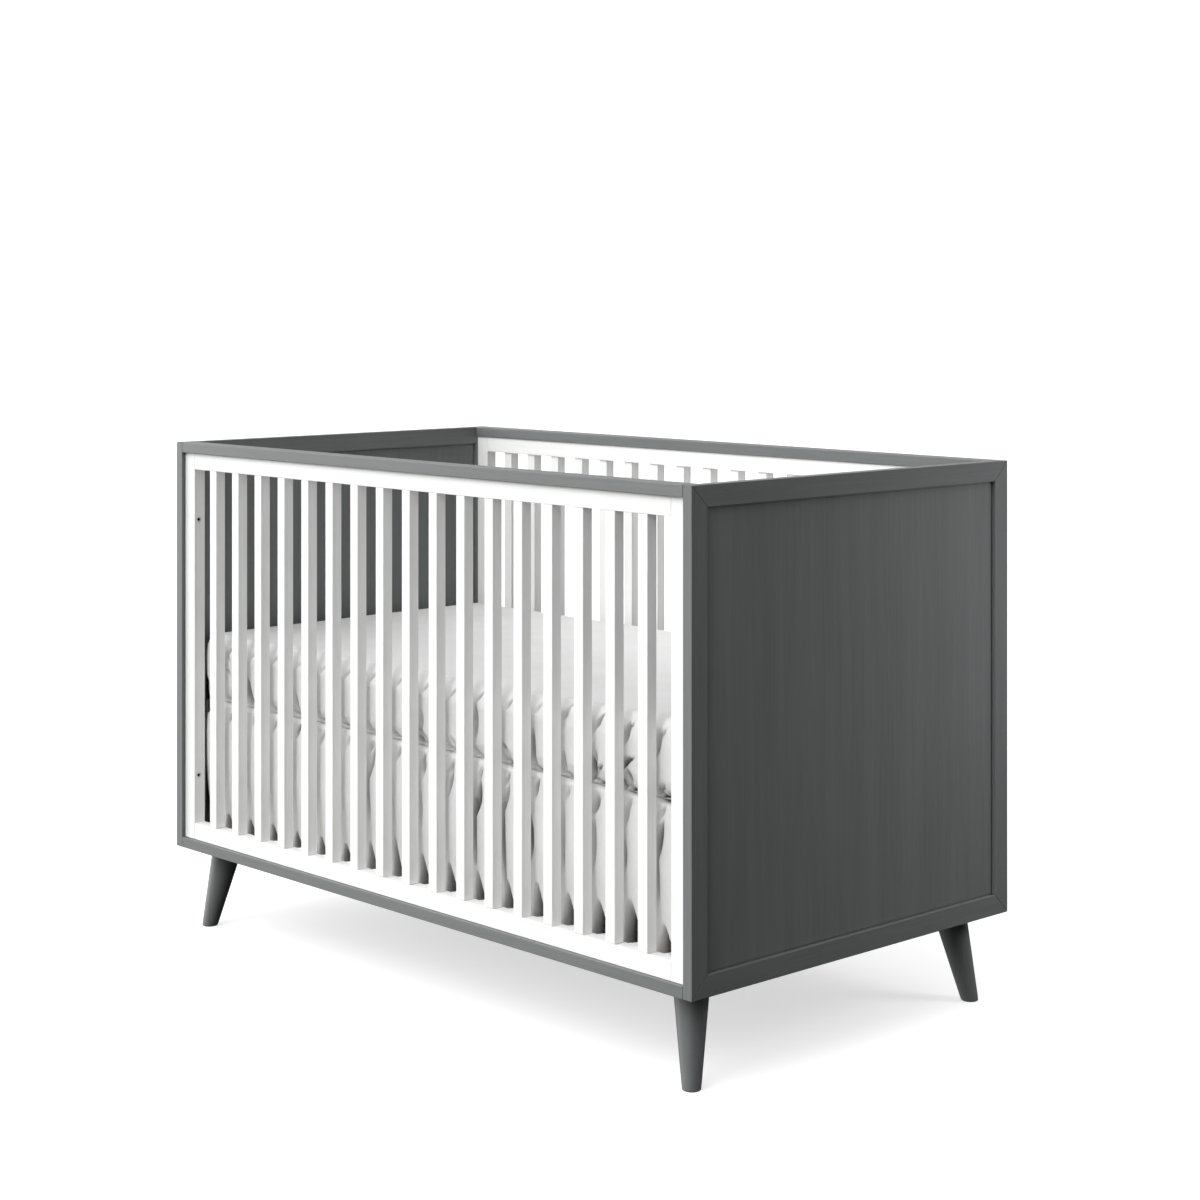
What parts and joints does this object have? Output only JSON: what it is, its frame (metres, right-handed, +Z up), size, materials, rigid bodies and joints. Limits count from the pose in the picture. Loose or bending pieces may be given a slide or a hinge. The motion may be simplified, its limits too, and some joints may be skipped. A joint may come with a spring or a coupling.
{
  "type": "baby crib",
  "caption": "Slatted baby crib with framed end panels, splayed tapered legs, a height-adjustable mattress support, a mattress in a fitted sheet and a gathered skirt.",
  "frame": {"origin": "on the floor under the middle of the crib", "axes": "+X along the crib's length towards its right end, +Y towards its back, +Z up"},
  "size_m": [1.38, 0.763, 0.919],
  "materials": {
    "charcoal_stain": "satin",
    "white_lacquer": "satin",
    "beech_block": "matte",
    "coated_steel": "satin",
    "zinc_bolt": "satin",
    "skirt_cotton": "matte",
    "mattress_ticking": "matte",
    "white_cotton": "matte"
  },
  "bodies": {
    "crib": {"left_end_top_rail": "charcoal_stain", "left_end_bottom_rail": "charcoal_stain", "left_end_front_stile": "charcoal_stain", "left_end_back_stile": "charcoal_stain", "left_end_panel": "charcoal_stain", "right_end_top_rail": "charcoal_stain", "right_end_bottom_rail": "charcoal_stain", "right_end_front_stile": "charcoal_stain", "right_end_back_stile": "charcoal_stain", "right_end_panel": "charcoal_stain", "front_top_board": "charcoal_stain", "front_bottom_board": "charcoal_stain", "back_top_board": "charcoal_stain", "back_bottom_board": "charcoal_stain", "front_side_top_rail": "white_lacquer", "front_side_bottom_rail": "white_lacquer", "front_side_left_stile": "white_lacquer", "front_side_right_stile": "white_lacquer", "front_slat_01": "white_lacquer", "front_slat_02": "white_lacquer", "front_slat_03": "white_lacquer", "front_slat_04": "white_lacquer", "front_slat_05": "white_lacquer", "front_slat_06": "white_lacquer", "front_slat_07": "white_lacquer", "front_slat_08": "white_lacquer", "front_slat_09": "white_lacquer", "front_slat_10": "white_lacquer", "front_slat_11": "white_lacquer", "front_slat_12": "white_lacquer", "front_slat_13": "white_lacquer", "front_slat_14": "white_lacquer", "front_slat_15": "white_lacquer", "front_slat_16": "white_lacquer", "front_slat_17": "white_lacquer", "back_side_panel": "white_lacquer", "leg_front_left": "charcoal_stain", "leg_front_right": "charcoal_stain", "leg_back_left": "charcoal_stain", "leg_back_right": "charcoal_stain", "corner_block_front_left": "beech_block", "corner_block_front_right": "beech_block", "corner_block_back_left": "beech_block", "corner_block_back_right": "beech_block", "height_bracket_front_left": "coated_steel", "height_bracket_front_right": "coated_steel", "height_bracket_back_left": "coated_steel", "height_bracket_back_right": "coated_steel", "side_bolt_front_left_upper": "zinc_bolt", "side_bolt_front_left_lower": "zinc_bolt", "side_bolt_front_right_upper": "zinc_bolt", "side_bolt_front_right_lower": "zinc_bolt", "side_bolt_back_left_upper": "zinc_bolt", "side_bolt_back_left_lower": "zinc_bolt", "side_bolt_back_right_upper": "zinc_bolt", "side_bolt_back_right_lower": "zinc_bolt"},
    "support": {"mattress_support": "coated_steel", "crib_skirt": "skirt_cotton"},
    "mattress": {"mattress": "mattress_ticking", "fitted_sheet": "white_cotton"}
  },
  "joints": [
    {"name": "support_height", "type": "slide", "parent": "crib", "child": "support", "axis": [0, 0, 1], "range_m": [-0.17, 0.085], "deforming": ["crib_skirt"]},
    {"name": "mattress_lift", "type": "slide", "parent": "support", "child": "mattress", "axis": [0, 0, 1], "range_m": [0, 0.52]}
  ]
}
